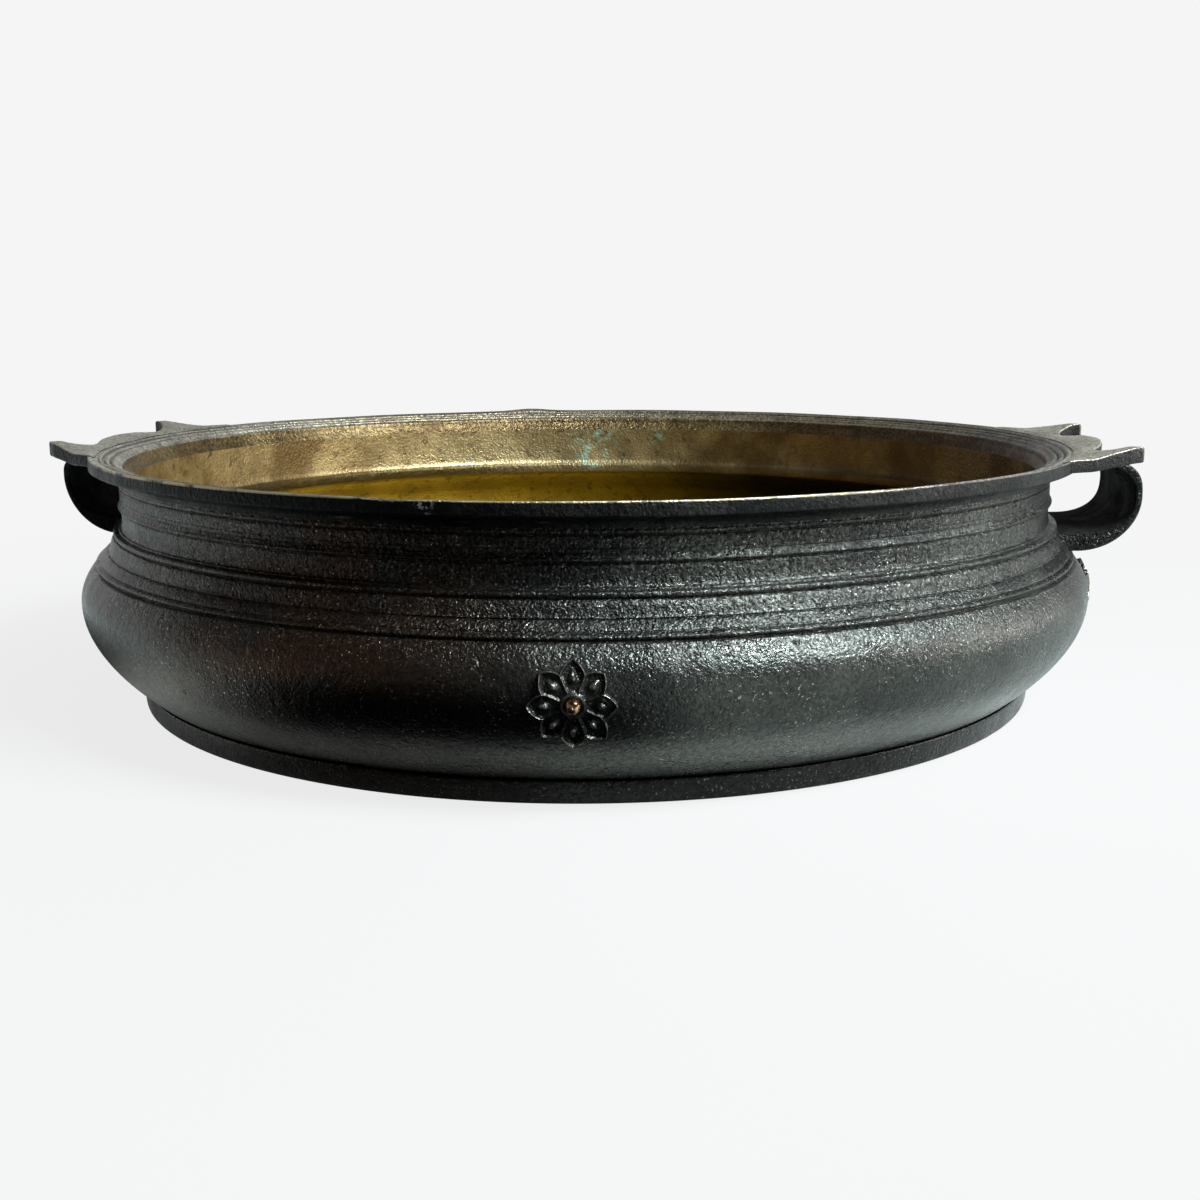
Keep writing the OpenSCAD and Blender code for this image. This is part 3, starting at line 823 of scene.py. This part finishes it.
def floor_material():
    """A plain pale floor, white to the eye, with a soft shadow by the foot.

    The brass mirrors another floor, pale right under the belly and dark in front and to its left, which glows
    with painted light under the belly and in a pool to the front left."""
    s = Shader(bpy.data.materials.new("pale_floor"))
    seen = s.node("ShaderNodeLightPath").outputs["Is Camera Ray"]
    near_foot = s.near((0, 0, 0), 0.245, 0.010)
    around = s.mix(s.towards(150, 70, 35), (0.40, 0.41, 0.39), (0.80, 0.81, 0.78))
    around = s.mix(s.towards(-102, 34, 18), around, (0.008, 0.009, 0.009))
    shadow = s.times(s.near((0, 0, 0), 0.45, 0.30), FLOOR_SHADOW)
    grain = s.ramp(s.noise(3, 3), 0.3, 0.7)
    lit = s.mix(shadow, (0, 0, 0), s.mix(grain, (0.55, 0.55, 0.55), (0.58, 0.58, 0.58)))
    colour = s.mix(seen, s.mix(near_foot, around, (0.42, 0.43, 0.41)), lit)
    paper = s.bump([(s.noise(900, 2), 0.05, 0.0003)])
    diffuse = s.node("ShaderNodeBsdfDiffuse", {"Color": colour, "Normal": paper})
    white = s.mix(shadow, PAPER_WHITE, (0, 0, 0))
    # What the brass mirrors glows: painted light right under the belly and a brighter pool to the front left.
    painted_light_pool = s.near((-0.225, -0.185, 0), 0.070, 0.055)
    under = s.mix(near_foot, s.mix(painted_light_pool, (0, 0, 0), (0.62, 0.65, 0.62)), (0.19, 0.20, 0.20))
    glow = s.mix(seen, under, white)
    both = s.node("ShaderNodeAddShader")
    s.tree.links.new(diffuse.outputs[0], both.inputs[0])
    s.tree.links.new(s.node("ShaderNodeEmission", {"Color": glow}).outputs[0], both.inputs[1])
    return s.output(both, "ShaderNodeOutputMaterial")


# ---------------------------------------------------------------- camera, light and floor

CAMERA_TURN = math.radians(6.2)
CAMERA_AWAY, CAMERA_HIGH = 0.7844, 0.1909
CAMERA_PITCH, CAMERA_YAW, CAMERA_ROLL = math.radians(11.114), math.radians(0.525), math.radians(-0.228)
CAMERA_LENS, CAMERA_SENSOR = 44.3, 36.0


def make_camera():
    """In front of the bowl and a little to its right, looking slightly down."""
    data = bpy.data.cameras.new("camera")
    data.lens = CAMERA_LENS
    data.sensor_width = CAMERA_SENSOR
    camera = bpy.data.objects.new("camera", data)
    bpy.context.scene.collection.objects.link(camera)
    flat = math.cos(CAMERA_PITCH)
    forward = Vector((math.sin(CAMERA_YAW) * flat, math.cos(CAMERA_YAW) * flat, -math.sin(CAMERA_PITCH)))
    right = Vector((math.cos(CAMERA_YAW), -math.sin(CAMERA_YAW), 0))
    up = right.cross(forward)
    turned_right = right * math.cos(CAMERA_ROLL) + up * math.sin(CAMERA_ROLL)
    turned_up = up * math.cos(CAMERA_ROLL) - right * math.sin(CAMERA_ROLL)
    pose = Matrix((turned_right, turned_up, -forward)).transposed().to_4x4()
    pose.translation = (0, -CAMERA_AWAY, CAMERA_HIGH)
    camera.matrix_world = Matrix.Rotation(CAMERA_TURN, 4, "Z") @ pose
    bpy.context.scene.camera = camera


def area_light(name, azimuth, elevation, distance, size, power, colour=(1, 1, 1)):
    """A soft rectangle that faces the bowl. Azimuth 0 is +X, and 90 is +Y."""
    data = bpy.data.lights.new(name, "AREA")
    data.shape = "RECTANGLE"
    data.size, data.size_y = size
    data.energy = power
    data.color = colour
    light = bpy.data.objects.new(name, data)
    bpy.context.scene.collection.objects.link(light)
    a, e = math.radians(azimuth), math.radians(elevation)
    away = Vector((math.cos(a) * math.cos(e), math.sin(a) * math.cos(e), math.sin(e)))
    light.location = away * distance + Vector((0, 0, 0.08))
    light.rotation_mode = "QUATERNION"
    light.rotation_quaternion = away.to_track_quat("Z", "Y")


def make_light():
    area_light("key_right_front", -29, 44, 1.9, (0.8, 0.60), 90, (0.83, 0.95, 1.0))
    area_light("side_right", 4, 10, 1.9, (1.1, 0.5), 12)


def make_world():
    """White to the camera. What the brass mirrors is a room, dark in front and to the left."""
    s = Shader(bpy.data.worlds.new("studio"), "Generated")
    bpy.context.scene.world = s.owner
    front = s.maths("SUBTRACT", 1.0, s.towards(-117, 62, 30))
    back, left = s.times(s.towards(95, 75, 30), 0.6), s.times(s.towards(165, 80, 30), 0.9)
    walls = s.times(s.maths("ADD", front, back, left), s.ramp(s.axis("Z"), 0.03, 0.40, 1.0, 0.12))
    room = s.node("ShaderNodeBackground", {"Strength": s.times(walls, 0.55)})
    seen = s.node("ShaderNodeBackground", {"Color": (*PAPER_WHITE, 1)})
    choose = s.node("ShaderNodeMixShader", {0: s.node("ShaderNodeLightPath").outputs["Is Camera Ray"]})
    s.tree.links.new(room.outputs[0], choose.inputs[1])
    s.tree.links.new(seen.outputs[0], choose.inputs[2])
    s.output(choose, "ShaderNodeOutputWorld")


def make_floor(material):
    """A large round floor just under the foot."""
    sides, level = 96, -0.0002
    turns = np.arange(sides) * 2 * math.pi / sides
    rings = [0.6, 1.5, 4.0, 12.0, 40.0]
    points = [(0, 0, level)] + [(r * math.cos(t), r * math.sin(t), level) for r in rings for t in turns]
    faces = [(0, 1 + j, 1 + (j + 1) % sides) for j in range(sides)]
    for i in range(len(rings) - 1):
        for j in range(sides):
            a, b = 1 + i * sides + j, 1 + i * sides + (j + 1) % sides
            faces.append((a, a + sides, b + sides, b))
    mesh = bpy.data.meshes.new("floor")
    mesh.from_pydata(points, [], faces)
    mesh.materials.append(material)
    floor = bpy.data.objects.new("floor", mesh)
    bpy.context.scene.collection.objects.link(floor)


# ---------------------------------------------------------------- the scene

make_camera()
# Two darkened copies of the patina stand for painted shade: on the foot and straps, and near black on the
# left strap and inside both loops.
patina, soot_and_shade = patina_material("dark_patina"), patina_material("soot_and_shade_patina", 0.80)
black, petal_metal = patina_material("shade_black", ALL_SOOT), patina_material("rubbed_petals", rubbed=True)
rim_metal, bead_metal = rim_material(), bead_material()

make_bowl(patina, inside_material())
build("rim", *spin(rim_outline(), RIM_TURNS), rim_metal, "rim_brass", "rim_ring")
build("foot", *spin(foot_outline(), BOWL_TURNS), soot_and_shade, "aged_brass", "foot_ring")
# The left strap is near black and the right one lighter: a shaded and a lit copy of the patina.
for side, strap_metal in ((1, soot_and_shade), (-1, black)):
    make_plate(side, rim_metal)
    make_strap(side, strap_metal, black)
for seed, (place, angle) in enumerate(ROSETTES.items()):
    make_rosette(place, angle, petal_metal, seed + 11)
    make_bead(place, angle, bead_metal, seed + 31)

make_floor(floor_material())
make_world()
make_light()
bpy.context.scene.view_settings.view_transform = "Standard"
